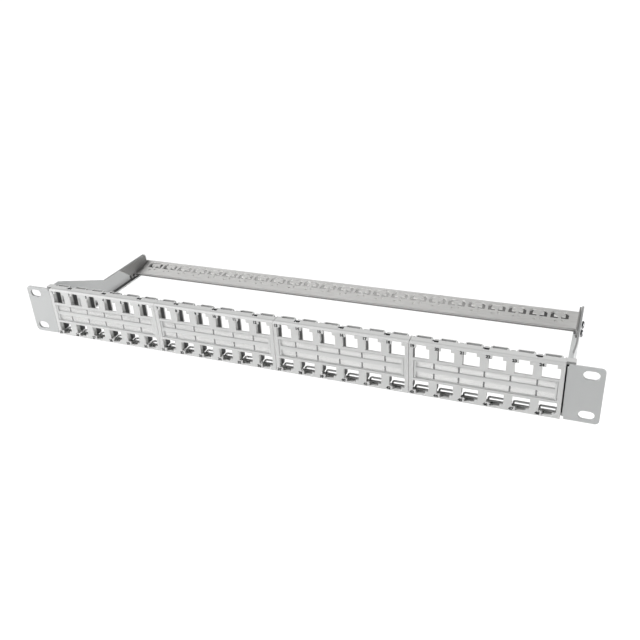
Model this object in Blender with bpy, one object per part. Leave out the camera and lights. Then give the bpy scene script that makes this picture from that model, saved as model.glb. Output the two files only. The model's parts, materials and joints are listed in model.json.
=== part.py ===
"""A 19-inch, 1U patch panel with 48 empty keystone ports and a rear cable tie bar.

Millimetre values are turned into metres by MM. +X is to the right along the panel, +Y goes back into the
rack and +Z is up. The origin is the middle of the plane where the two rack ears rest on the rack's posts.
"""
import math

import bmesh
import bpy

MM = 0.001

# Rack standard
PANEL_WIDTH = 482.6
EAR_HEIGHT = 43.7
SLOT_SPACING_X = 465.1
SLOT_SPACING_Z = 31.75
SLOT_LENGTH = 11.0
SLOT_HEIGHT = 6.8
SHEET = 1.5

# Modelling: how far a cutter runs past the surface it cuts, and the sides of a round hole or shank
OVERCUT = 2.0
ROUND_SIDES = 20

# Port grid
COLUMNS = 24
BLOCKS = 4
PER_BLOCK = COLUMNS // BLOCKS
PITCH = 18.0
GAP = 0.3

# Port block
BLOCK_PITCH = PER_BLOCK * PITCH
BLOCK_WIDTH = BLOCK_PITCH - 0.4
BLOCK_HALF_HEIGHT = 22.2
BLOCK_FRONT = -2.3
BLOCK_BACK = 9.8
TOP_BEVEL_DEPTH = 1.5
TOP_BEVEL_HEIGHT = 1.1
BASE_BEVEL = 0.4
FACE_THICKNESS = 1.2
PORT_WIDTH = 12.0
PORT_INNER_Z = 9.6
PORT_SHOULDER_Z = 18.0
PORT_OUTER_Z = 20.7
KEY_WIDTH = 7.2
CAVITY_WIDTH = 14.8
CAVITY_INNER_Z = 3.6
CAVITY_STEP_Z = 8.2
CAVITY_OUTER_Z = 20.9
WALL_BACK = 6.0
DIVIDER_HALF_HEIGHT = 20.6
POCKET_WIDTH = 6.2
POCKET_FRONT = 0.0
POCKET_BACK = 3.1
POCKET_Z = 21.7
KEYHOLE_WIDTH = 4.6
KEYHOLE_FRONT = 2.4
KEYHOLE_BACK = 5.2
KEYHOLE_DEPTH = 2.6
HOOP_WIDTH = 12.6
HOOP_INNER_WIDTH = 10.2
HOOP_INNER_BACK = 8.7
HOOP_BACK = 9.4
HOOP_CORNER = 1.1
UPPER_HOOP_Z = (20.3, 22.1)
LOWER_HOOP_Z = (-21.5, -20.1)
HOOP_FOOT_Z = (-22.1, -21.2)
LUG_FRONT = 2.4
LUG_BACK = 7.6
LUG_INNER_Z = 19.8
LUG_OUTER_Z = 22.1
LUG_INNER = 214.8
LUG_REACH = 222.0
END_RIB_BACK = 3.8
END_RIB_REACH = 217.6

# Label band
LABEL_LENGTH = 100.8
LABEL_HALF_HEIGHT = 7.5
LABEL_DEPTH = 2.0
PAPER_END_MARGIN = 1.0
PAPER_HEIGHT = 5.2
PAPER_THICKNESS = 0.3
PAPER_CENTRE_Z = 4.35
COVER_THICKNESS = 0.8
COVER_RIB_HEIGHT = 2.2
COVER_RIB_DEPTH = 0.55

# Rail behind the label band
RAIL_HALF_HEIGHT = 3.4
RAIL_FRONT = 6.0
RAIL_TAB_BACK = 22.0
CHANNEL_HALF_HEIGHT = RAIL_HALF_HEIGHT + GAP
CHANNEL_FRONT = RAIL_FRONT - GAP

# Side bracket
EAR_INNER_X = 216.9
ARM_INNER_X = 218.0
ARM_OUTER_X = ARM_INNER_X + SHEET
ARM_BACK = 142.5
ARM_TOP_FRONT = 21.85
ARM_TOP_BACK = -3.2
ARM_SLOPE_START = 14.5
ARM_SLOPE_END = 73.0
ARM_BOTTOM = -20.4
ARM_FLANGE_INNER_X = 213.8
ARM_FLANGE_FRONT = 12.0
ARM_FLANGE_BACK = 139.0
ARM_CORNER = 4.0
FLANGE_CHAMFER = 3.0
RELIEF_WIDTH = 1.0
RELIEF_HEIGHT = 2.1
EAR_CORNER = 3.0

# Cable tie bar
BAR_HALF_LENGTH = 217.5
BAR_FRONT = 119.2
BAR_FRONT_Z = -14.6
BAR_BACK = 143.3
BAR_BACK_Z = -10.8
BAR_LIP_DROP = 1.6
BAR_REAR_DROP = 9.0
CELL_PITCH = 17.5
CELL_WIDTH = 14.8
CELL_FRONT = 11.8
CELL_BACK = 21.0
CELL_CORNER = 2.2
TONGUE_STEM = 2.4
TONGUE_HEAD = 9.4
TONGUE_NECK = 3.6
TONGUE_GAP = 1.3
TONGUE_CORNER = 2.0
TIE_HOLE_WIDTH = 2.2
TIE_HOLE_DEPTH = 1.6
TIE_HOLE_OFFSET = 2.6
TIE_HOLE_FRONT = 6.6
TIE_HOLE_STAGGER = 1.8

# Bar end plates
PLATE_LUG_HALF_WIDTH = 4.4
PLATE_NOTCH_Z = -13.8
PLATE_BACK = 141.0
PLATE_BACK_Z = -11.8
PLATE_TOP_BACK = 138.0
PLATE_TOP_FRONT = 97.0
PLATE_TOP_Z = -3.6
PLATE_TAB_FRONT = 108.0
PLATE_TAB_Z = -12.2

# Bar screws
SCREW_Y = (115.5, 130.5)
SCREW_Z = -16.2
SCREW_SHANK_RADIUS = 1.4
SCREW_HOLE_RADIUS = 1.75
SCREW_HEAD_RADIUS = 3.3
SCREW_HEAD_HEIGHT = 1.9
SCREW_HEAD_EDGE = 0.35
SCREW_HEAD_RINGS = 5
SCREW_SHANK_LENGTH = 5.4
ADJUST_SLOT_FRONT = 110.5
ADJUST_SLOT_BACK = 134.0
ADJUST_SLOT_HEIGHT = 3.6


def clear_scene():
    for item in list(bpy.data.objects):
        bpy.data.objects.remove(item, do_unlink=True)


def material(name, colour, roughness, metallic=0.0, alpha=1.0):
    made = bpy.data.materials.new(name)
    made.use_nodes = True
    shader = made.node_tree.nodes["Principled BSDF"]
    shader.inputs["Base Color"].default_value = (*colour, 1.0)
    shader.inputs["Roughness"].default_value = roughness
    shader.inputs["Metallic"].default_value = metallic
    shader.inputs["Alpha"].default_value = alpha
    return made


def add_object(name, mesh_builder, made_of=None, parent=None, origin=(0.0, 0.0, 0.0)):
    """Turn a filled bmesh, in millimetres, into an object whose origin is at origin."""
    for vertex in mesh_builder.verts:
        vertex.co = [(value - offset) * MM for value, offset in zip(vertex.co, origin)]
    bmesh.ops.recalc_face_normals(mesh_builder, faces=mesh_builder.faces)
    mesh = bpy.data.meshes.new(name)
    mesh_builder.to_mesh(mesh)
    mesh_builder.free()
    made = bpy.data.objects.new(name, mesh)
    made.location = [value * MM for value in origin]
    bpy.context.scene.collection.objects.link(made)
    if made_of:
        mesh.materials.append(made_of)
    if parent:
        made.parent = parent
    return made


def extrude_outline(builder, outline, holes, to_space, depth):
    """Extrude a flat outline with holes. to_space maps (u, v, height) to (x, y, z)."""
    edges = []
    for loop in [outline, *holes]:
        ring = [builder.verts.new(to_space(u, v, 0.0)) for u, v in loop]
        for index, vertex in enumerate(ring):
            edges.append(builder.edges.new((vertex, ring[(index + 1) % len(ring)])))
    filled = bmesh.ops.triangle_fill(builder, edges=edges, use_beauty=True)
    faces = [item for item in filled["geom"] if isinstance(item, bmesh.types.BMFace)]
    bottom = bmesh.ops.extrude_face_region(builder, geom=faces)
    moved = [item for item in bottom["geom"] if isinstance(item, bmesh.types.BMVert)]
    start = to_space(0.0, 0.0, 0.0)
    end = to_space(0.0, 0.0, depth)
    shift = [last - first for first, last in zip(start, end)]
    bmesh.ops.translate(builder, vec=shift, verts=moved)


def add_box(builder, x_range, y_range, z_range):
    corners = [(x_range[0], z_range[0]), (x_range[1], z_range[0]), (x_range[1], z_range[1]),
               (x_range[0], z_range[1])]
    extrude_outline(builder, corners, [], lambda u, v, h: (u, y_range[0] + h, v), y_range[1] - y_range[0])


def arc(centre_u, centre_v, radius, start, end, steps):
    """Points of an arc, with its angles in degrees."""
    points = []
    for step in range(steps + 1):
        angle = math.radians(start + (end - start) * step / steps)
        points.append((centre_u + radius * math.cos(angle), centre_v + radius * math.sin(angle)))
    return points


def oval(centre_u, centre_v, length, height, steps=6):
    """A slot with round ends, long along u."""
    radius = height / 2
    reach = length / 2 - radius
    right = arc(centre_u + reach, centre_v, radius, -90, 90, steps)
    left = arc(centre_u - reach, centre_v, radius, 90, 270, steps)
    return right + left


def cut(target, name, builder, operation="DIFFERENCE"):
    """Boolean target with a hidden cutter built in millimetres."""
    cutter = add_object(name, builder)
    cutter.hide_render = True
    cutter.display_type = "WIRE"
    boolean = target.modifiers.new(name, "BOOLEAN")
    boolean.operation = operation
    boolean.solver = "EXACT"
    boolean.object = cutter


def block_centre(block):
    return (block - (BLOCKS - 1) / 2) * BLOCK_PITCH


def port_centres(block):
    first = block_centre(block) - BLOCK_PITCH / 2 + PITCH / 2
    return [first + column * PITCH for column in range(PER_BLOCK)]


def sorted_range(first, second):
    return (min(first, second), max(first, second))


def add_port_cutter(builder, centre, row):
    """The keyed opening in the face plate. row is 1 for the upper row and -1 for the lower one, its mirror."""
    half = PORT_WIDTH / 2
    key = KEY_WIDTH / 2
    right = [(half, PORT_INNER_Z), (half, PORT_SHOULDER_Z), (key, PORT_SHOULDER_Z), (key, PORT_OUTER_Z)]
    left = [(-u, v) for u, v in reversed(right)]
    outline = [(centre + u, row * v) for u, v in right + left]
    extrude_outline(builder, outline, [], lambda u, v, h: (u, BLOCK_FRONT - OVERCUT + h, v),
                    OVERCUT + FACE_THICKNESS + GAP)


def add_cavity_cutter(builder, centre, row):
    """The space behind one opening, which steps back to clear the wall behind the labels."""
    face = BLOCK_FRONT + FACE_THICKNESS
    label_wall = BLOCK_FRONT + LABEL_DEPTH + FACE_THICKNESS
    end = BLOCK_BACK + OVERCUT
    section = [(face, CAVITY_STEP_Z), (face, CAVITY_OUTER_Z), (end, CAVITY_OUTER_Z), (end, CAVITY_INNER_Z),
               (label_wall, CAVITY_INNER_Z), (label_wall, CAVITY_STEP_Z)]
    outline = [(y, row * z) for y, z in section]
    start = centre - CAVITY_WIDTH / 2
    extrude_outline(builder, outline, [], lambda u, v, h: (start + h, u, v), CAVITY_WIDTH)


def add_pocket_cutter(builder, centre, row):
    """The pocket in the outer wall for the fixed lip of a jack."""
    half = POCKET_WIDTH / 2
    add_box(builder, (centre - half, centre + half), (POCKET_FRONT, POCKET_BACK),
            sorted_range(row * (CAVITY_OUTER_Z - OVERCUT), row * POCKET_Z))


def add_keyhole_cutters(builder, block, row):
    half = KEYHOLE_WIDTH / 2
    for column in range(0, PER_BLOCK, 2):
        boundary = port_centres(block)[column] + PITCH / 2
        add_box(builder, (boundary - half, boundary + half), (KEYHOLE_FRONT, KEYHOLE_BACK),
                sorted_range(row * (BLOCK_HALF_HEIGHT - KEYHOLE_DEPTH), row * (BLOCK_HALF_HEIGHT + OVERCUT)))


def add_hoop(builder, centre, z_range):
    """The loop behind the outer wall that a jack's latch snaps into."""
    start = WALL_BACK - GAP
    half = HOOP_WIDTH / 2
    inner = HOOP_INNER_WIDTH / 2
    right = [(inner, HOOP_INNER_BACK), (inner, start), (half, start), (half, HOOP_BACK - HOOP_CORNER),
             (half - HOOP_CORNER, HOOP_BACK)]
    left = [(-u, v) for u, v in reversed(right)]
    low, high = z_range
    extrude_outline(builder, [(centre + u, v) for u, v in right + left], [], lambda u, v, h: (u, v, low + h),
                    high - low)


def add_hoop_feet(builder, centre):
    """The two feet that tie a lower hoop, which stands clear of the wall, to the wall's rear edge."""
    for side in (-1, 1):
        add_box(builder, sorted_range(centre + side * HOOP_INNER_WIDTH / 2, centre + side * HOOP_WIDTH / 2),
                (WALL_BACK - GAP, HOOP_BACK - HOOP_CORNER), HOOP_FOOT_Z)


def add_lug(builder, side, row):
    """The end hook of an outer block, over the notch in the side bracket."""
    add_box(builder, sorted_range(side * LUG_INNER, side * LUG_REACH), (LUG_FRONT, LUG_BACK),
            sorted_range(row * LUG_INNER_Z, row * LUG_OUTER_Z))


def add_end_rib(builder, side):
    """The upright rib that closes the gap between an outer block and its bracket."""
    overlap = LUG_INNER_Z + GAP
    add_box(builder, sorted_range(side * LUG_INNER, side * END_RIB_REACH), (LUG_FRONT + GAP, END_RIB_BACK),
            (-overlap, overlap))


def block_profile():
    """The block's outer shape in (y, z). Behind the outer walls only the dividers go on back."""
    top = BLOCK_HALF_HEIGHT
    rear = [(WALL_BACK, top), (WALL_BACK, DIVIDER_HALF_HEIGHT), (BLOCK_BACK, DIVIDER_HALF_HEIGHT)]
    upper = [(BLOCK_FRONT, top - TOP_BEVEL_HEIGHT), (BLOCK_FRONT + TOP_BEVEL_DEPTH, top), *rear]
    lower = [(BLOCK_FRONT, top - BASE_BEVEL), (BLOCK_FRONT + BASE_BEVEL, top), *rear]
    return upper + [(y, -z) for y, z in reversed(lower)]


def make_port_block(block, plastic):
    name = f"port_block_{block + 1}"
    centre = block_centre(block)
    half = BLOCK_WIDTH / 2
    builder = bmesh.new()
    extrude_outline(builder, block_profile(), [], lambda u, v, h: (centre - half + h, u, v), BLOCK_WIDTH)
    made = add_object(name, builder, plastic)

    cavities = bmesh.new()
    openings = bmesh.new()
    extras = bmesh.new()
    braces = bmesh.new()
    for row, hoop_z in ((1, UPPER_HOOP_Z), (-1, LOWER_HOOP_Z)):
        for port in port_centres(block):
            add_cavity_cutter(cavities, port, row)
            add_port_cutter(openings, port, row)
            add_pocket_cutter(openings, port, row)
            add_hoop(extras, port, hoop_z)
        add_keyhole_cutters(openings, block, row)
        if block == 0:
            add_lug(extras, -1, row)
        if block == BLOCKS - 1:
            add_lug(extras, 1, row)
    for port in port_centres(block):
        add_hoop_feet(braces, port)
    if block == 0:
        add_end_rib(braces, -1)
    if block == BLOCKS - 1:
        add_end_rib(braces, 1)
    add_box(openings, (centre - LABEL_LENGTH / 2, centre + LABEL_LENGTH / 2),
            (BLOCK_FRONT - OVERCUT, BLOCK_FRONT + LABEL_DEPTH), (-LABEL_HALF_HEIGHT, LABEL_HALF_HEIGHT))
    add_box(openings, (centre - half - OVERCUT, centre + half + OVERCUT),
            (CHANNEL_FRONT, BLOCK_BACK + OVERCUT), (-CHANNEL_HALF_HEIGHT, CHANNEL_HALF_HEIGHT))
    cut(made, f"{name}_cavities", cavities)
    cut(made, f"{name}_openings", openings)
    cut(made, f"{name}_extras", extras, "UNION")
    cut(made, f"{name}_braces", braces, "UNION")


def make_label_strips(block, paper):
    centre = block_centre(block)
    half = LABEL_LENGTH / 2 - PAPER_END_MARGIN
    back = BLOCK_FRONT + LABEL_DEPTH - GAP
    for name, row in (("upper", 1), ("lower", -1)):
        builder = bmesh.new()
        add_box(builder, (centre - half, centre + half), (back - PAPER_THICKNESS, back),
                (row * PAPER_CENTRE_Z - PAPER_HEIGHT / 2, row * PAPER_CENTRE_Z + PAPER_HEIGHT / 2))
        add_object(f"label_strip_{name}_{block + 1}", builder, paper)


def make_label_cover(block, clear):
    """A flat clear plate, with one rib along the middle behind it that parts the two paper strips."""
    centre = block_centre(block)
    half = LABEL_LENGTH / 2 - GAP
    top = LABEL_HALF_HEIGHT - GAP
    back = BLOCK_FRONT + LABEL_DEPTH - GAP - PAPER_THICKNESS - GAP
    front = back - COVER_THICKNESS
    rib = COVER_RIB_HEIGHT / 2
    profile = [(front, -top), (back, -top), (back, -rib), (back + COVER_RIB_DEPTH, -rib),
               (back + COVER_RIB_DEPTH, rib), (back, rib), (back, top), (front, top)]
    builder = bmesh.new()
    extrude_outline(builder, profile, [], lambda u, v, h: (centre - half + h, u, v), 2 * half)
    add_object(f"label_cover_{block + 1}", builder, clear, origin=(centre, front, 0.0))


def make_support_rail(steel):
    """A flat strip across the back of the blocks, whose ends turn back along the brackets' arms."""
    outer = ARM_INNER_X - GAP
    front = RAIL_FRONT
    plan = [(-outer, front), (outer, front), (outer, RAIL_TAB_BACK), (outer - SHEET, RAIL_TAB_BACK),
            (outer - SHEET, front + SHEET), (SHEET - outer, front + SHEET), (SHEET - outer, RAIL_TAB_BACK),
            (-outer, RAIL_TAB_BACK)]
    builder = bmesh.new()
    extrude_outline(builder, plan, [], lambda u, v, h: (u, v, h - RAIL_HALF_HEIGHT), 2 * RAIL_HALF_HEIGHT)
    add_object("support_rail", builder, steel)


def ear_outline(side):
    """The ear's outline in (x, z), with a relief notch at both ends of its inner edge."""
    top = EAR_HEIGHT / 2
    inner = EAR_INNER_X
    notch = inner + RELIEF_WIDTH
    outer = PANEL_WIDTH / 2
    upper = [(inner, top - RELIEF_HEIGHT), (notch, top - RELIEF_HEIGHT), (notch, top)]
    upper += arc(outer - EAR_CORNER, top - EAR_CORNER, EAR_CORNER, 90, 0, 6)
    lower = [(u, -v) for u, v in reversed(upper)]
    return [(side * u, v) for u, v in upper + lower]


def ear_slots(side):
    centre = side * SLOT_SPACING_X / 2
    return [oval(centre, row * SLOT_SPACING_Z / 2, SLOT_LENGTH, SLOT_HEIGHT) for row in (1, -1)]


def arm_outline():
    """The arm's outline in (y, z), from the ear's rear face backwards."""
    bottom = ARM_BOTTOM
    lug_floor = LUG_INNER_Z - GAP
    points = [(-SHEET / 2, -lug_floor), (LUG_BACK + GAP, -lug_floor), (LUG_BACK + GAP, bottom)]
    points.append((ARM_BACK - ARM_CORNER, bottom))
    points += arc(ARM_BACK - ARM_CORNER, bottom + ARM_CORNER, ARM_CORNER, -90, 0, 5)[1:]
    points += arc(ARM_BACK - ARM_CORNER, ARM_TOP_BACK - ARM_CORNER, ARM_CORNER, 0, 90, 5)
    points += [(ARM_SLOPE_END, ARM_TOP_BACK), (ARM_SLOPE_START, ARM_TOP_FRONT),
               (LUG_BACK + GAP, ARM_TOP_FRONT), (LUG_BACK + GAP, lug_floor), (-SHEET / 2, lug_floor)]
    return points


def arm_holes():
    centre = (ADJUST_SLOT_FRONT + ADJUST_SLOT_BACK) / 2
    return [oval(centre, SCREW_Z, ADJUST_SLOT_BACK - ADJUST_SLOT_FRONT, ADJUST_SLOT_HEIGHT)]


def make_side_bracket(name, side, steel):
    builder = bmesh.new()
    extrude_outline(builder, ear_outline(side), ear_slots(side), lambda u, v, h: (u, h - SHEET, v), SHEET)
    made = add_object(name, builder, steel)

    arm = bmesh.new()
    extrude_outline(arm, arm_outline(), arm_holes(), lambda u, v, h: (side * (ARM_INNER_X + h), u, v), SHEET)
    cut(made, f"{name}_arm", arm, "UNION")

    flange = bmesh.new()
    root = ARM_INNER_X + SHEET / 2
    chamfer = ARM_FLANGE_INNER_X + FLANGE_CHAMFER
    plan = [(root, ARM_FLANGE_FRONT), (root, ARM_FLANGE_BACK), (chamfer, ARM_FLANGE_BACK),
            (ARM_FLANGE_INNER_X, ARM_FLANGE_BACK - FLANGE_CHAMFER),
            (ARM_FLANGE_INNER_X, ARM_FLANGE_FRONT + FLANGE_CHAMFER), (chamfer, ARM_FLANGE_FRONT)]
    extrude_outline(flange, [(side * u, v) for u, v in plan], [], lambda u, v, h: (u, v, ARM_BOTTOM + h), SHEET)
    cut(made, f"{name}_flange", flange, "UNION")


def bar_point(u, v, h):
    """Map (along the bar, across it from its front edge, above its lower face) to space."""
    run = BAR_BACK - BAR_FRONT
    rise = BAR_BACK_Z - BAR_FRONT_Z
    length = math.hypot(run, rise)
    return (u, BAR_FRONT + (v * run - h * rise) / length, BAR_FRONT_Z - SHEET + (v * rise + h * run) / length)


def bar_width():
    return math.hypot(BAR_BACK - BAR_FRONT, BAR_BACK_Z - BAR_FRONT_Z)


def cell_outline(centre):
    """The slot around one T-shaped tie tongue, whose stem joins the bar at the front."""
    half = CELL_WIDTH / 2
    stem = TONGUE_STEM / 2
    head = TONGUE_HEAD / 2
    neck = CELL_FRONT + TONGUE_NECK
    tip = CELL_BACK - TONGUE_GAP
    right = [(stem, CELL_FRONT), (half, CELL_FRONT), (half, CELL_BACK - CELL_CORNER),
             (half - CELL_CORNER, CELL_BACK)]
    inner = [(stem, neck), (head, neck), (head, tip - TONGUE_CORNER), (head - TONGUE_CORNER, tip)]
    outer_left = [(-u, v) for u, v in reversed(right)]
    inner_left = [(-u, v) for u, v in inner]
    outline = right + outer_left + inner_left + list(reversed(inner))
    return [(centre + u, v) for u, v in outline]


def tie_holes(centre):
    half = TIE_HOLE_WIDTH / 2
    holes = []
    for middle, front in ((centre - TIE_HOLE_OFFSET, TIE_HOLE_FRONT),
                          (centre + TIE_HOLE_OFFSET, TIE_HOLE_FRONT + TIE_HOLE_STAGGER)):
        holes.append([(middle - half, front), (middle + half, front), (middle + half, front + TIE_HOLE_DEPTH),
                      (middle - half, front + TIE_HOLE_DEPTH)])
    return holes


def make_cable_bar(steel):
    builder = bmesh.new()
    end = BAR_HALF_LENGTH - GAP
    outline = [(-end, 0.0), (end, 0.0), (end, bar_width()), (-end, bar_width())]
    holes = []
    for cell in range(COLUMNS):
        centre = (cell - (COLUMNS - 1) / 2) * CELL_PITCH
        holes.append(cell_outline(centre))
        holes += tie_holes(centre)
    extrude_outline(builder, outline, holes, bar_point, SHEET)
    made = add_object("cable_bar", builder, steel)

    folds = bmesh.new()
    for front, drop in ((0.0, BAR_LIP_DROP), (bar_width() - SHEET, BAR_REAR_DROP)):
        lip = [(-end, front), (end, front), (end, front + SHEET), (-end, front + SHEET)]
        extrude_outline(folds, lip, [], lambda u, v, h, d=drop: bar_point(u, v, h - d), drop + SHEET / 2)
    cut(made, "bar_lips", folds, "UNION")

    plates = bmesh.new()
    for side in (-1, 1):
        outer = side * (ARM_INNER_X - GAP)
        inner = side * (ARM_INNER_X - GAP - SHEET)
        low, high = sorted_range(inner, outer)
        extrude_outline(plates, end_plate_outline(), end_plate_holes(),
                        lambda u, v, h, x=low: (x + h, u, v), high - low)
    cut(made, "bar_end_plates", plates, "UNION")


def end_plate_outline():
    """The bar's end plate in (y, z): a long upper tab and two screw lugs below."""
    lug_bottom = ARM_BOTTOM + SHEET + GAP
    front, back = SCREW_Y
    reach = PLATE_LUG_HALF_WIDTH
    return [(front - reach, lug_bottom), (front + reach, lug_bottom), (front + reach, PLATE_NOTCH_Z),
            (back - reach, PLATE_NOTCH_Z), (back - reach, lug_bottom), (back + reach, lug_bottom),
            (PLATE_BACK, PLATE_BACK_Z), (PLATE_TOP_BACK, PLATE_TOP_Z), (PLATE_TOP_FRONT, PLATE_TOP_Z),
            (PLATE_TAB_FRONT, PLATE_TAB_Z), (front - reach, PLATE_NOTCH_Z)]


def end_plate_holes():
    step = 360 / ROUND_SIDES
    return [arc(y, SCREW_Z, SCREW_HOLE_RADIUS, 0, 360 - step, ROUND_SIDES - 1) for y in SCREW_Y]


def make_bar_screw(name, side, y, steel):
    """A pan head outside the arm and a shank through the arm's slot and the bar's end plate."""
    builder = bmesh.new()
    face = ARM_OUTER_X + GAP
    dome = 1 - SCREW_HEAD_EDGE
    rings = [(face - SCREW_SHANK_LENGTH, SCREW_SHANK_RADIUS), (face, SCREW_SHANK_RADIUS),
             (face, SCREW_HEAD_RADIUS)]
    for step in range(1, SCREW_HEAD_RINGS):
        angle = math.pi / 2 * step / SCREW_HEAD_RINGS
        rings.append((face + SCREW_HEAD_HEIGHT * (SCREW_HEAD_EDGE + dome * math.sin(angle)),
                      SCREW_HEAD_RADIUS * (SCREW_HEAD_EDGE + dome * math.cos(angle))))
    loops = []
    for x, radius in rings:
        loop = []
        for step in range(ROUND_SIDES):
            angle = math.tau * step / ROUND_SIDES
            loop.append(builder.verts.new((side * x, y + radius * math.cos(angle),
                                           SCREW_Z + radius * math.sin(angle))))
        loops.append(loop)
    for first, second in zip(loops, loops[1:]):
        for step in range(ROUND_SIDES):
            after = (step + 1) % ROUND_SIDES
            builder.faces.new((first[step], first[after], second[after], second[step]))
    builder.faces.new(loops[0])
    builder.faces.new(loops[-1])
    made = add_object(name, builder, steel, origin=(side * face, y, SCREW_Z))
    for polygon in made.data.polygons:
        polygon.use_smooth = len(polygon.vertices) == 4
    return made


def build():
    clear_scene()
    bpy.context.scene.unit_settings.system = "METRIC"
    painted = material("painted_steel", (0.55, 0.56, 0.56), 0.45, 0.0)
    plastic = material("port_plastic", (0.66, 0.66, 0.65), 0.42)
    paper = material("label_paper", (0.82, 0.82, 0.80), 0.85)
    clear = material("clear_plastic", (0.9, 0.9, 0.9), 0.08, alpha=0.35)
    plated = material("plated_steel", (0.60, 0.595, 0.585), 0.38, 1.0)
    zinc = material("zinc_screw", (0.45, 0.46, 0.47), 0.35, 1.0)

    make_side_bracket("side_bracket_left", -1, painted)
    make_side_bracket("side_bracket_right", 1, painted)
    make_support_rail(painted)
    for block in range(BLOCKS):
        make_port_block(block, plastic)
        make_label_strips(block, paper)
        make_label_cover(block, clear)
    make_cable_bar(plated)
    for side_name, side in (("left", -1), ("right", 1)):
        for place, y in zip(("front", "rear"), SCREW_Y):
            make_bar_screw(f"bar_screw_{side_name}_{place}", side, y, zinc)


build()
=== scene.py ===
"""Looks for a 19-inch patch panel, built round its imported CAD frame.

Lengths are in metres, and MM turns millimetres into them. The frame has +X to the right along the panel,
+Y back into the rack and +Z up, with its origin in the middle of the plane of the rack ears' rear faces.
"""
import json
import math

import bmesh
import bpy
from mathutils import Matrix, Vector


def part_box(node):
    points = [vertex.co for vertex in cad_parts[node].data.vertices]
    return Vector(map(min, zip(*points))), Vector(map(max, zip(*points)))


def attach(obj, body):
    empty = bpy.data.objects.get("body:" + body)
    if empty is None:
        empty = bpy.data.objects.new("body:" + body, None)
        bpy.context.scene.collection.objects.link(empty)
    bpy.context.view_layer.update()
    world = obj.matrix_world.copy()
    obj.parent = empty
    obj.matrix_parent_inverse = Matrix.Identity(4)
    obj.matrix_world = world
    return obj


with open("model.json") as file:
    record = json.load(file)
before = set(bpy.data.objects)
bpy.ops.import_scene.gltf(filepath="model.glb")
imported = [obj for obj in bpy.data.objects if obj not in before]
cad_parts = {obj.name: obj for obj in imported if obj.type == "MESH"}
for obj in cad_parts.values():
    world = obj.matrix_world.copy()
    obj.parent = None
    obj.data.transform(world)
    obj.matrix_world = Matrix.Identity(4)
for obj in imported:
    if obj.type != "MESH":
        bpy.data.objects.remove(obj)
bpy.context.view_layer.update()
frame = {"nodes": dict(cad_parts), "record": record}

MM = 0.001
X, Y, Z = range(3)
WHITE = (1.0, 1.0, 1.0, 1.0)

BLOCKS = 4
PER_BLOCK = 6
PITCH = 18.0 * MM
BLOCK_PITCH = PITCH * PER_BLOCK
HALF_PANEL = BLOCK_PITCH * BLOCKS / 2


# ---------------------------------------------------------------- node helpers

# The span in which nearly all noise values lie
NOISE_SPAN = (0.3, 0.7)


class Tree:
    """A short way to write a node tree."""

    def __init__(self, tree):
        self.tree = tree

    def add(self, kind, *inputs, **settings):
        """Add a node and feed its first sockets."""
        node = self.tree.nodes.new(kind)
        for key, value in settings.items():
            setattr(node, key, value)
        for socket, value in zip(node.inputs, inputs):
            self.feed(socket, value)
        return node

    def feed(self, socket, value):
        """Link another socket to this one, or give it a fixed value."""
        if isinstance(value, bpy.types.NodeSocket):
            self.tree.links.new(value, socket)
        else:
            socket.default_value = value

    def math(self, operation, *inputs):
        return self.add("ShaderNodeMath", *inputs, operation=operation).outputs[0]

    def product(self, value, *others):
        """All the values multiplied together."""
        for other in others:
            value = self.math("MULTIPLY", value, other)
        return value

    def largest(self, value, *others):
        """The largest of the values."""
        for other in others:
            value = self.math("MAXIMUM", value, other)
        return value

    def unsigned(self, value):
        return self.math("ABSOLUTE", value)

    def without(self, value):
        """What value leaves of 1."""
        return self.math("SUBTRACT", 1.0, value)

    def smooth(self, value, low, high, at_low=0.0, at_high=1.0):
        """Ease from at_low to at_high while value goes from low to high."""
        node = self.add("ShaderNodeMapRange", value, low, high, at_low, at_high,
                        interpolation_type="SMOOTHSTEP")
        return node.outputs[0]

    def inside(self, value, low, high, edge):
        """1 where value is between low and high, with soft edges."""
        rise = self.smooth(value, low - edge, low + edge)
        fall = self.smooth(value, high - edge, high + edge, 1.0, 0.0)
        return self.product(rise, fall)


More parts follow.
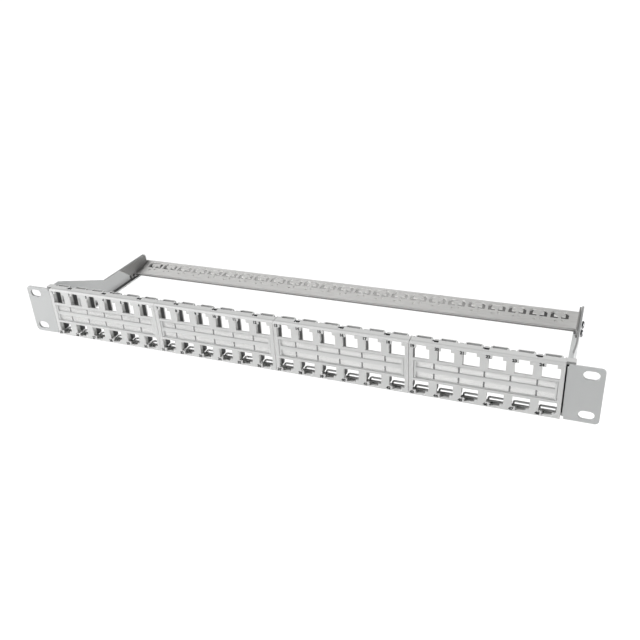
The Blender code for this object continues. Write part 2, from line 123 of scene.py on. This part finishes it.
class Look(Tree):
    """A material's node tree."""

    def __init__(self, name):
        self.material = bpy.data.materials.new(name)
        self.material.use_nodes = True
        super().__init__(self.material.node_tree)
        self.shader = self.tree.nodes["Principled BSDF"]
        self.place = self.add("ShaderNodeTexCoord").outputs["Object"]
        self.x, self.y, self.z = self.add("ShaderNodeSeparateXYZ", self.place).outputs
        self.normal = self.add("ShaderNodeNewGeometry").outputs["Normal"]

    def noise(self, size, detail=2.0, roughness=0.5, stretch=None):
        """Noise with features of about size, stretched along an axis if asked."""
        place = self.place
        if stretch:
            place = self.add("ShaderNodeVectorMath", place, stretch, operation="MULTIPLY").outputs[0]
        node = self.add("ShaderNodeTexNoise")
        self.feed(node.inputs["Vector"], place)
        self.feed(node.inputs["Scale"], 1 / size)
        self.feed(node.inputs["Detail"], detail)
        self.feed(node.inputs["Roughness"], roughness)
        return node.outputs["Fac"]

    def mix(self, factor, first, second):
        """The first colour where factor is 0 and the second where it is 1."""
        node = self.add("ShaderNodeMix", data_type="RGBA")
        self.feed(node.inputs["Factor"], factor)
        self.feed(node.inputs["A"], first)
        self.feed(node.inputs["B"], second)
        return node.outputs["Result"]

    def scaled(self, colour, factor):
        """The colour made lighter or darker by factor."""
        grey = self.add("ShaderNodeCombineXYZ", factor, factor, factor).outputs[0]
        return self.add("ShaderNodeVectorMath", colour, grey, operation="MULTIPLY").outputs[0]

    def bump(self, height, strength, distance, normal=None):
        node = self.add("ShaderNodeBump")
        self.feed(node.inputs["Strength"], strength)
        self.feed(node.inputs["Distance"], distance)
        self.feed(node.inputs["Height"], height)
        if normal:
            self.feed(node.inputs["Normal"], normal)
        return node.outputs[0]

    def rounded(self, radius):
        """Normals that round every edge off by radius."""
        node = self.add("ShaderNodeBevel", samples=4)
        self.feed(node.inputs["Radius"], radius)
        return node.outputs[0]

    def edge_mask(self, rounded):
        """1 on edges, 0 on flat faces."""
        turn = self.add("ShaderNodeVectorMath", rounded, self.normal, operation="DOT_PRODUCT")
        return self.smooth(turn.outputs["Value"], 0.985, 0.80)

    def facing(self, axis):
        """How far the surface faces along an axis: -1 to 1."""
        return self.add("ShaderNodeSeparateXYZ", self.normal).outputs[axis]

    def upwards(self):
        """1 on faces that look up."""
        return self.smooth(self.facing(Z), 0.3, 0.6)

    def forwards(self):
        """1 on faces that look out of the rack."""
        return self.smooth(self.facing(Y), -0.5, -0.8)

    def sideways(self):
        """1 on faces that look left or right."""
        return self.smooth(self.unsigned(self.facing(X)), 0.5, 0.8)

    def lying(self):
        """1 on faces that look up or down."""
        return self.smooth(self.unsigned(self.facing(Z)), 0.6, 0.8)

    def set(self, **values):
        """Feed the surface shader. An underscore stands for a space in a socket's name."""
        for name, value in values.items():
            self.feed(self.shader.inputs[name.replace("_", " ")], value)


# ---------------------------------------------------------------- materials
#
# Each pair below is a soft limit: where a tone starts to change, and where it has changed.

# Brackets
ARM_START_Y = (14 * MM, 18 * MM)
FLANGE_TOP_Z = (-18.5 * MM, -18.0 * MM)
LEFT_TO_RIGHT_X = (-1 * MM, 1 * MM)


def painted_steel():
    """Light grey powder coat: fine orange peel, faint cloudiness and slightly thinner paint on the edges.

    Shade is painted into the arms' upward faces: their upper edges are darker, and the left arm's flange,
    which lies in the arm's shade, carries a painted shadow.
    """
    n = Look("painted_steel_look")
    cloud = n.noise(35 * MM, 3.0)
    speck = n.noise(0.5 * MM, 2.0)
    peel = n.noise(0.9 * MM, 2.0)
    rounded = n.rounded(0.35 * MM)
    tone = n.mix(cloud, (0.412, 0.420, 0.419, 1), (0.450, 0.457, 0.455, 1))
    tone = n.scaled(tone, n.smooth(speck, *NOISE_SPAN, 0.96, 1.04))
    tone = n.mix(n.product(n.edge_mask(rounded), 0.35), tone, (0.62, 0.63, 0.63, 1))
    # Painted shade on the arms' upward faces: their upper edges are mixed half-way towards near-black, and
    # the left arm's flange gets a painted shadow.
    arms = n.product(n.smooth(n.y, *ARM_START_Y), n.upwards())
    flange = n.product(n.smooth(n.z, *FLANGE_TOP_Z, 1.0, 0.0), n.smooth(n.x, *LEFT_TO_RIGHT_X, 0.7, 0.0))
    upper_edge_painted_shade = n.smooth(n.z, *FLANGE_TOP_Z, 0.0, 0.5)
    tone = n.mix(n.product(arms, n.largest(flange, upper_edge_painted_shade)), tone, (0.07, 0.07, 0.07, 1))
    n.set(Base_Color=tone, Roughness=n.smooth(peel, *NOISE_SPAN, 0.38, 0.52),
          Normal=n.bump(peel, 0.12, 0.05 * MM, rounded), Specular_IOR_Level=0.45)
    return n.material


# Tie bar
BAR_PAINTED_LIGHT_X = (20 * MM, 200 * MM)
BAR_RIGHT_END_X = (80 * MM, 195 * MM)
BAR_LEFT_END_X = (-205 * MM, -165 * MM)
END_PLATE_X = (212 * MM, 215 * MM)
FRONT_LIP_Y = (120.5 * MM, 121.5 * MM)
REAR_LIP_Y = (141.0 * MM, 141.5 * MM)
LIP_BEND_Z = (-16.7 * MM, -16.0 * MM)
END_PLATE_TOP_Z = (-10.4 * MM, -9.9 * MM)
# The tie slots lie between these two depths
SLOT_FRONT_Y = 124 * MM
SLOT_BACK_Y = 140.5 * MM


def plated_steel():
    """Zinc-plated sheet, slightly warm, with a fine grain along the bar.

    Shade is painted into its colour on the front lip, on the end plates and their top edges and, strongest
    towards the bar's ends, on the rear fold's inner face and the tie slots' sides. A painted highlight makes
    the slots' rear edges bright, and painted light makes the bar a little lighter over most of its length
    than at its right end.
    """
    n = Look("plated_steel_look")
    grain = n.noise(0.7 * MM, 4.0, 0.65, (0.06, 1.0, 1.0))
    cloud = n.noise(18 * MM, 3.0)
    rounded = n.rounded(0.3 * MM)
    tone = n.mix(cloud, (0.412, 0.408, 0.400, 1), (0.452, 0.448, 0.440, 1))
    tone = n.scaled(tone, n.smooth(grain, *NOISE_SPAN, 0.90, 1.08))
    # Painted light: the bar is a little lighter over most of its length and darker towards its right end.
    tone = n.scaled(tone, n.smooth(n.x, *BAR_PAINTED_LIGHT_X, 1.10, 0.98))
    forwards = n.forwards()
    sideways = n.sideways()
    at_plate = n.smooth(n.unsigned(n.x), *END_PLATE_X)
    # Painted highlight: the slots' rear edges are mixed towards a light tone.
    slot_rear_painted_highlight = n.product(forwards, n.inside(n.y, SLOT_FRONT_Y, SLOT_BACK_Y, 0.4 * MM))
    tone = n.mix(n.product(slot_rear_painted_highlight, 0.8), tone, (0.85, 0.845, 0.83, 1))
    # Painted shade on the tie slots' sides and the rear fold's inner face, strongest towards the bar's ends.
    slot_side = n.product(sideways, n.without(at_plate), 0.6)
    rear_lip = n.product(forwards, n.smooth(n.y, *REAR_LIP_Y))
    near_end = n.largest(n.smooth(n.x, *BAR_RIGHT_END_X, 0.12, 0.95),
                         n.smooth(n.x, *BAR_LEFT_END_X, 0.95, 0.12))
    slot_and_fold_painted_shade = n.product(n.largest(rear_lip, slot_side), near_end)
    # Painted shade on the front lip, the end plates and their top edges; all this painted shade is mixed
    # towards near-black below.
    front_lip_painted_shade = n.product(forwards, n.smooth(n.y, *FRONT_LIP_Y, 1.0, 0.0),
                          n.smooth(n.z, *LIP_BEND_Z, 0.70, 0.12))
    plate = n.product(sideways, at_plate, 0.62)
    plate_edge_painted_shade = n.product(n.upwards(), n.smooth(n.z, *END_PLATE_TOP_Z, 0.0, 0.5))
    tone = n.mix(n.largest(slot_and_fold_painted_shade, front_lip_painted_shade, plate, plate_edge_painted_shade), tone, (0.035, 0.034, 0.033, 1))
    n.set(Base_Color=tone, Metallic=0.15, Roughness=n.smooth(grain, *NOISE_SPAN, 0.50, 0.62),
          Normal=n.bump(grain, 0.10, 0.02 * MM, rounded))
    return n.material


# Port blocks. HEIGHT is the distance from z = 0, above or below
BETWEEN_ROWS_Z = (-1 * MM, 1 * MM)
FACE_BEVEL_Y = (-0.95 * MM, -0.75 * MM)
SHELF_Y = (-0.7 * MM, 0.4 * MM)
POCKET_Y = (-0.3 * MM, 0.0)
BACK_WALL_Y = (0.2 * MM, 1.2 * MM)
SIDE_WALL_Y = (2.4 * MM, 4.6 * MM)
LOOP_FRONT_Y = (8.2 * MM, 8.5 * MM)
LOOP_TOP_Y = (8.3 * MM, 8.6 * MM)
LOOP_HEIGHT = (20.25 * MM, 20.4 * MM)
POCKET_HEIGHT = (21.2 * MM, 21.5 * MM)
OUTER_FACE_HEIGHT = (21.8 * MM, 22.0 * MM)
OUTER_EDGE_HEIGHT = (21.9 * MM, 22.15 * MM)
LUG_X = (215.0 * MM, 215.3 * MM)
LUG_HEIGHT = (19.5 * MM, 19.8 * MM)
LOWER_WALL_Z = (-20.2 * MM, -19.9 * MM)
LIT_LOOPS_X = (60 * MM, 205 * MM)
# The band just behind the face, and the floor of the lower ports, lie between these
FACE_BAND_Y = (-0.75 * MM, 1.3 * MM)
PORT_FLOOR_Z = (-21.2 * MM, -20.6 * MM)


def port_plastic():
    """Light grey moulded plastic with a fine spark-eroded grain.

    Shade is painted into the ports' insides, darker towards the back, apart from the loops and walls that
    stand in the light. Painted light makes the side-facing faces and the lower ports' floors nearly white,
    and painted shade darkens the band just behind the face and the top bevel.
    """
    n = Look("port_plastic_look")
    cloud = n.noise(22 * MM, 3.0)
    grain = n.noise(0.22 * MM, 2.0)
    rounded = n.rounded(0.25 * MM)
    height = n.unsigned(n.z)
    lying = n.lying()
    sideways = n.sideways()
    port_floor = n.product(n.inside(n.z, *PORT_FLOOR_Z, 0.1 * MM), lying)
    tone = n.mix(cloud, (0.510, 0.513, 0.508, 1), (0.550, 0.552, 0.546, 1))
    tone = n.mix(n.product(n.edge_mask(rounded), 0.12), tone, (0.72, 0.72, 0.71, 1))
    # Painted light: the side-facing faces and the lower ports' floors are mixed towards near-white.
    tone = n.mix(n.product(sideways, 0.95), tone, (0.90, 0.90, 0.89, 1))
    tone = n.mix(n.product(port_floor, 0.9), tone, (0.93, 0.93, 0.92, 1))

    # Painted shade inside the ports, mixed towards near-black below. The loops, lugs and lower walls are kept
    # out of it, and painted light spares the lower loops more towards the left.
    side_walls = n.product(sideways, n.smooth(n.y, *SIDE_WALL_Y))
    painted_light_on_loops = n.product(n.smooth(n.z, *BETWEEN_ROWS_Z, 1.0, 0.0), n.smooth(n.y, *LOOP_FRONT_Y),
                          n.smooth(n.x, *LIT_LOOPS_X, 0.60, 0.20))
    back_walls = n.product(n.forwards(), n.smooth(n.y, *BACK_WALL_Y), n.without(painted_light_on_loops))
    upper_loops = n.product(n.smooth(n.y, *LOOP_FRONT_Y, 0.0, 0.72), n.smooth(n.z, 0.0, 1 * MM))
    lugs = n.product(n.smooth(n.unsigned(n.x), *LUG_X), n.smooth(height, *LUG_HEIGHT, 0.0, 0.75))
    lower_walls = n.smooth(n.z, *LOWER_WALL_Z, 0.72, 0.0)
    walls = n.product(n.largest(side_walls, back_walls), n.smooth(height, *OUTER_EDGE_HEIGHT, 1.0, 0.0),
                      n.without(n.largest(lower_walls, upper_loops, lugs)))

    # Painted shade on the up- and down-facing faces inside the ports: a little everywhere behind the face,
    # most in the pockets and on the loops.
    shelves = n.product(n.smooth(n.y, *SHELF_Y), 0.2)
    pockets = n.product(n.smooth(height, *POCKET_HEIGHT), n.smooth(n.y, *POCKET_Y),
                        n.smooth(n.z, *BETWEEN_ROWS_Z, 0.28, 1.0))
    loops = n.product(n.smooth(height, *LOOP_HEIGHT, 0.75, 0.0), n.smooth(n.y, *LOOP_TOP_Y),
                      n.smooth(n.z, *BETWEEN_ROWS_Z, 0.6, 1.0))
    floors = n.product(n.largest(shelves, pockets, loops), lying,
                       n.smooth(height, *OUTER_FACE_HEIGHT, 1.0, 0.0))
    painted_shade = n.largest(walls, floors)
    tone = n.mix(n.product(painted_shade, 0.94), tone, (0.026, 0.026, 0.027, 1))

    # Painted shade on the band just behind the face and on the top bevel.
    band = n.product(n.inside(n.y, *FACE_BAND_Y, 0.25 * MM), lying, 0.25)
    bevel = n.product(n.smooth(n.y, *FACE_BEVEL_Y, 0.40, 0.0), lying)
    tone = n.mix(n.largest(band, bevel), tone, (0.20, 0.20, 0.20, 1))
    n.set(Base_Color=tone, Roughness=n.smooth(grain, *NOISE_SPAN, 0.36, 0.48),
          Normal=n.bump(grain, 0.10, 0.02 * MM, rounded),
          Specular_IOR_Level=n.smooth(painted_shade, 0.2, 0.9, 0.45, 0.1))
    return n.material


# Label strips
PAPER_PAINTED_LIGHT_X = (-200 * MM, 200 * MM)


def label_paper():
    """White card with a fine fibre grain."""
    n = Look("label_paper_look")
    fibre = n.noise(0.6 * MM, 4.0, 0.7, (1.0, 1.0, 3.0))
    tone = n.mix(n.smooth(fibre, 0.35, 0.65), (0.69, 0.69, 0.68, 1), (0.72, 0.72, 0.71, 1))
    # Painted light: the paper is darker towards the left of the panel and lighter towards the right.
    tone = n.scaled(tone, n.smooth(n.x, *PAPER_PAINTED_LIGHT_X, 0.84, 1.22))
    n.set(Base_Color=tone, Roughness=0.85, Normal=n.bump(fibre, 0.15, 0.02 * MM))
    return n.material


# Label covers. COVER_END_X is measured from the middle of a cover
COVER_BAND_HEIGHT = (1.45 * MM, 1.75 * MM)
COVER_RIM_HEIGHT = (6.85 * MM, 7.0 * MM)
COVER_END_X = (48.5 * MM, 48.8 * MM)


def clear_plastic():
    """Clear glossy windows in front of the paper, with a frosted band along the middle and a frosted rim."""
    n = Look("clear_plastic_look")
    height = n.unsigned(n.z)
    along = n.math("SUBTRACT", n.math("MODULO", n.math("ADD", n.x, HALF_PANEL), BLOCK_PITCH), BLOCK_PITCH / 2)
    band = n.smooth(height, *COVER_BAND_HEIGHT, 1.0, 0.0)
    rim = n.smooth(height, *COVER_RIM_HEIGHT)
    ends = n.smooth(n.unsigned(along), *COVER_END_X)
    side = n.smooth(n.unsigned(n.facing(Y)), 0.3, 0.7, 1.0, 0.0)
    frosted = n.largest(band, side, rim, ends)
    frost = n.mix(side, (0.59, 0.595, 0.59, 1), (0.42, 0.425, 0.42, 1))
    ripple = n.noise(30 * MM, 1.0, 0.4, (0.4, 1.0, 3.0))
    n.set(Base_Color=n.mix(frosted, (0.90, 0.90, 0.90, 1), frost),
          Alpha=n.smooth(frosted, 0.0, 1.0, 0.16, 0.88), Roughness=n.smooth(frosted, 0.0, 1.0, 0.07, 0.35),
          Normal=n.bump(ripple, 0.25, 0.3 * MM, n.rounded(0.15 * MM)), Specular_IOR_Level=0.5)
    return n.material


def zinc_steel():
    """Dark zinc with a fine turned grain."""
    n = Look("zinc_steel_look")
    scratch = n.noise(0.5 * MM, 3.0, 0.6, (1.0, 6.0, 1.0))
    n.set(Base_Color=n.mix(scratch, (0.16, 0.16, 0.165, 1), (0.27, 0.27, 0.275, 1)), Metallic=1.0,
          Roughness=n.smooth(scratch, *NOISE_SPAN, 0.28, 0.42),
          Normal=n.bump(scratch, 0.1, 0.02 * MM, n.rounded(0.2 * MM)))
    return n.material


def printing_ink():
    """Dark grey screen-printed ink."""
    n = Look("printing_ink_look")
    speck = n.noise(0.15 * MM, 2.0)
    n.set(Base_Color=n.mix(speck, (0.006, 0.006, 0.007, 1), (0.018, 0.018, 0.019, 1)), Roughness=0.6,
          Specular_IOR_Level=0.2)
    return n.material


LOOKS = {
    "painted_steel": painted_steel(),
    "plated_steel": plated_steel(),
    "port_plastic": port_plastic(),
    "label_paper": label_paper(),
    "clear_plastic": clear_plastic(),
    "zinc_screw": zinc_steel(),
}
INK = printing_ink()

for part in frame["record"]["subparts"]:
    data = frame["nodes"][part["node"]].data
    data.materials.clear()
    data.materials.append(LOOKS[part["material_slot"]])


# ---------------------------------------------------------------- pieces

def add_piece(name, builder):
    """Turn a filled bmesh into an inked piece on the panel."""
    mesh = bpy.data.meshes.new(name)
    bmesh.ops.recalc_face_normals(builder, faces=builder.faces)
    builder.to_mesh(mesh)
    builder.free()
    mesh.materials.append(INK)
    piece = bpy.data.objects.new(name, mesh)
    bpy.context.scene.collection.objects.link(piece)
    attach(piece, "panel")


def add_box(builder, low, high):
    for vertex in bmesh.ops.create_cube(builder, size=1.0)["verts"]:
        vertex.co = [a + (b - a) * (0.5 + c) for a, b, c in zip(low, high, vertex.co)]


def block_centre(block):
    return (block - (BLOCKS - 1) / 2) * BLOCK_PITCH


# Numbers printed beside the ports, 1 to 24 above and 25 to 48 below, right-aligned next to each opening
NUMBER_HEIGHT = 2.2 * MM
NUMBER_RIGHT = 4.9 * MM
NUMBER_THICKNESS = 0.02 * MM
NUMBER_BOLDNESS = 0.20 * MM
NUMBER_UPPER_Z = 19.4 * MM
NUMBER_LOWER_Z = -19.95 * MM
# A figure's height as a share of the font's size
CAP_SHARE = 0.695
MERGE_DISTANCE = 0.0005 * MM


def add_number(builder, text, right, low, front):
    """Add one number's solid figures, standing on z = low, ending at x = right, on the plane y = front."""
    curve = bpy.data.curves.new("number", "FONT")
    curve.body = text
    curve.align_x = "RIGHT"
    curve.size = NUMBER_HEIGHT / CAP_SHARE
    curve.offset = NUMBER_BOLDNESS
    curve.resolution_u = 3
    curve.extrude = NUMBER_THICKNESS / 2
    holder = bpy.data.objects.new("number", curve)
    bpy.context.scene.collection.objects.link(holder)
    bpy.context.view_layer.update()
    mesh = holder.to_mesh()
    for vertex in mesh.vertices:
        x, z, y = vertex.co
        vertex.co = (right + x, front - y, low + z)
    builder.from_mesh(mesh)
    holder.to_mesh_clear()
    bpy.data.objects.remove(holder, do_unlink=True)
    bpy.data.curves.remove(curve)


def add_numbers(block):
    """Add a block's twelve numbers as one piece."""
    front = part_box(f"port_block_{block + 1}")[0][Y] - NUMBER_THICKNESS / 2
    builder = bmesh.new()
    for column in range(PER_BLOCK):
        port = block_centre(block) + (column - (PER_BLOCK - 1) / 2) * PITCH
        number = block * PER_BLOCK + column + 1
        for text, middle in ((number, NUMBER_UPPER_Z), (number + BLOCKS * PER_BLOCK, NUMBER_LOWER_Z)):
            add_number(builder, str(text), port - NUMBER_RIGHT, middle - NUMBER_HEIGHT / 2, front)
    bmesh.ops.remove_doubles(builder, verts=builder.verts, dist=MERGE_DISTANCE)
    add_piece(f"port_numbers_{block + 1}", builder)


# Dark dividing lines printed on the label strips. Each strip lies a little differently in its holder
LINE_WIDTH = 1.3 * MM
LINE_THICKNESS = 0.03 * MM
LINE_SINK = 0.01 * MM
LINE_SHIFT = (0.0, -0.9 * MM, -0.3 * MM, 0.5 * MM)


def add_lines(block):
    """Add the dividing lines of a block's two label strips, one piece a strip."""
    for row in ("upper", "lower"):
        low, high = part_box(f"label_strip_{row}_{block + 1}")
        builder = bmesh.new()
        for boundary in range(1, PER_BLOCK):
            x = block_centre(block) + (boundary - PER_BLOCK / 2) * PITCH + LINE_SHIFT[block]
            add_box(builder, (x - LINE_WIDTH / 2, low[Y] - LINE_THICKNESS, low[Z]),
                    (x + LINE_WIDTH / 2, low[Y] + LINE_SINK, high[Z]))
        add_piece(f"label_lines_{row}_{block + 1}", builder)


for block in range(BLOCKS):
    add_numbers(block)
    add_lines(block)


# ---------------------------------------------------------------- stage, lights and camera

FLOOR_DROP = 1.2
FLOOR_HALF = 30.0
# The world's glow at the sides and overhead, and how high up the one turns into the other
WALL_GLOW = 0.028
CEILING_GLOW = 0.006
GLOW_FADE_Z = (0.25, 0.95)

# The camera stands to the front right of the panel, above it. Its turn is in radians, its lens in mm
CAMERA_PLACE = (0.23118, -0.44222, 0.28317)
CAMERA_TURN = (1.08395, 0.05318, 0.3819)
CAMERA_LENS = 41.04
CAMERA_SENSOR = 36.0


def add_floor():
    """A plain pale floor, well below the panel."""
    builder = bmesh.new()
    corners = []
    for x, y in ((-1, -1), (1, -1), (1, 1), (-1, 1)):
        corners.append(builder.verts.new((x * FLOOR_HALF, y * FLOOR_HALF, -FLOOR_DROP)))
    builder.faces.new(corners)
    mesh = bpy.data.meshes.new("floor")
    builder.to_mesh(mesh)
    builder.free()
    floor = bpy.data.objects.new("floor", mesh)
    bpy.context.scene.collection.objects.link(floor)
    n = Look("floor_look")
    n.set(Base_Color=(0.96, 0.96, 0.96, 1), Roughness=0.9, Specular_IOR_Level=0.0)
    mesh.materials.append(n.material)


def add_light(name, light, towards):
    """Link a light that shines along towards."""
    holder = bpy.data.objects.new(name, light)
    holder.rotation_euler = towards.to_track_quat("-Z", "Y").to_euler()
    bpy.context.scene.collection.objects.link(holder)
    return holder


def add_area_light(name, place, target, size, power):
    """A round soft light at place, turned to target."""
    light = bpy.data.lights.new(name, "AREA")
    light.shape = "DISK"
    light.size = size
    light.energy = power
    holder = add_light(name, light, Vector(target) - Vector(place))
    holder.location = place


def add_sun(name, source, strength, spread):
    """A wide, soft light from far away; source points from the object to the light, spread is in degrees."""
    light = bpy.data.lights.new(name, "SUN")
    light.energy = strength
    light.angle = math.radians(spread)
    add_light(name, light, -Vector(source))


def set_world():
    """A plain white backdrop, and a weak, even glow that fills the shadows."""
    world = bpy.data.worlds.new("studio")
    world.use_nodes = True
    n = Tree(world.node_tree)
    direction = n.add("ShaderNodeTexCoord").outputs["Generated"]
    up = n.add("ShaderNodeSeparateXYZ", direction).outputs["Z"]
    glow = n.tree.nodes["Background"]
    n.feed(glow.inputs["Color"], WHITE)
    n.feed(glow.inputs["Strength"], n.smooth(up, *GLOW_FADE_Z, WALL_GLOW, CEILING_GLOW))
    backdrop = n.add("ShaderNodeBackground", WHITE)
    seen = n.add("ShaderNodeLightPath").outputs["Is Camera Ray"]
    choice = n.add("ShaderNodeMixShader", seen, glow.outputs[0], backdrop.outputs[0])
    n.feed(n.tree.nodes["World Output"].inputs["Surface"], choice.outputs[0])
    bpy.context.scene.world = world


def add_camera():
    camera = bpy.data.cameras.new("camera")
    camera.sensor_width = CAMERA_SENSOR
    camera.lens = CAMERA_LENS
    camera.clip_start = 0.01
    holder = bpy.data.objects.new("camera", camera)
    holder.location = CAMERA_PLACE
    holder.rotation_euler = CAMERA_TURN
    bpy.context.scene.collection.objects.link(holder)
    bpy.context.scene.camera = holder


add_floor()
set_world()
add_sun("key", source=(-0.60, -0.22, 0.90), strength=4.2, spread=45.0)
add_area_light("near_key", place=(-0.80, -0.62, 0.12), target=(-0.15, 0.03, 0.0), size=0.5, power=5.5)
add_area_light("side_fill", place=(1.5, 0.15, 0.12), target=(-0.10, 0.06, 0.0), size=0.8, power=18.0)
add_camera()
bpy.context.scene.view_settings.view_transform = "Standard"
bpy.context.scene.view_settings.look = "None"
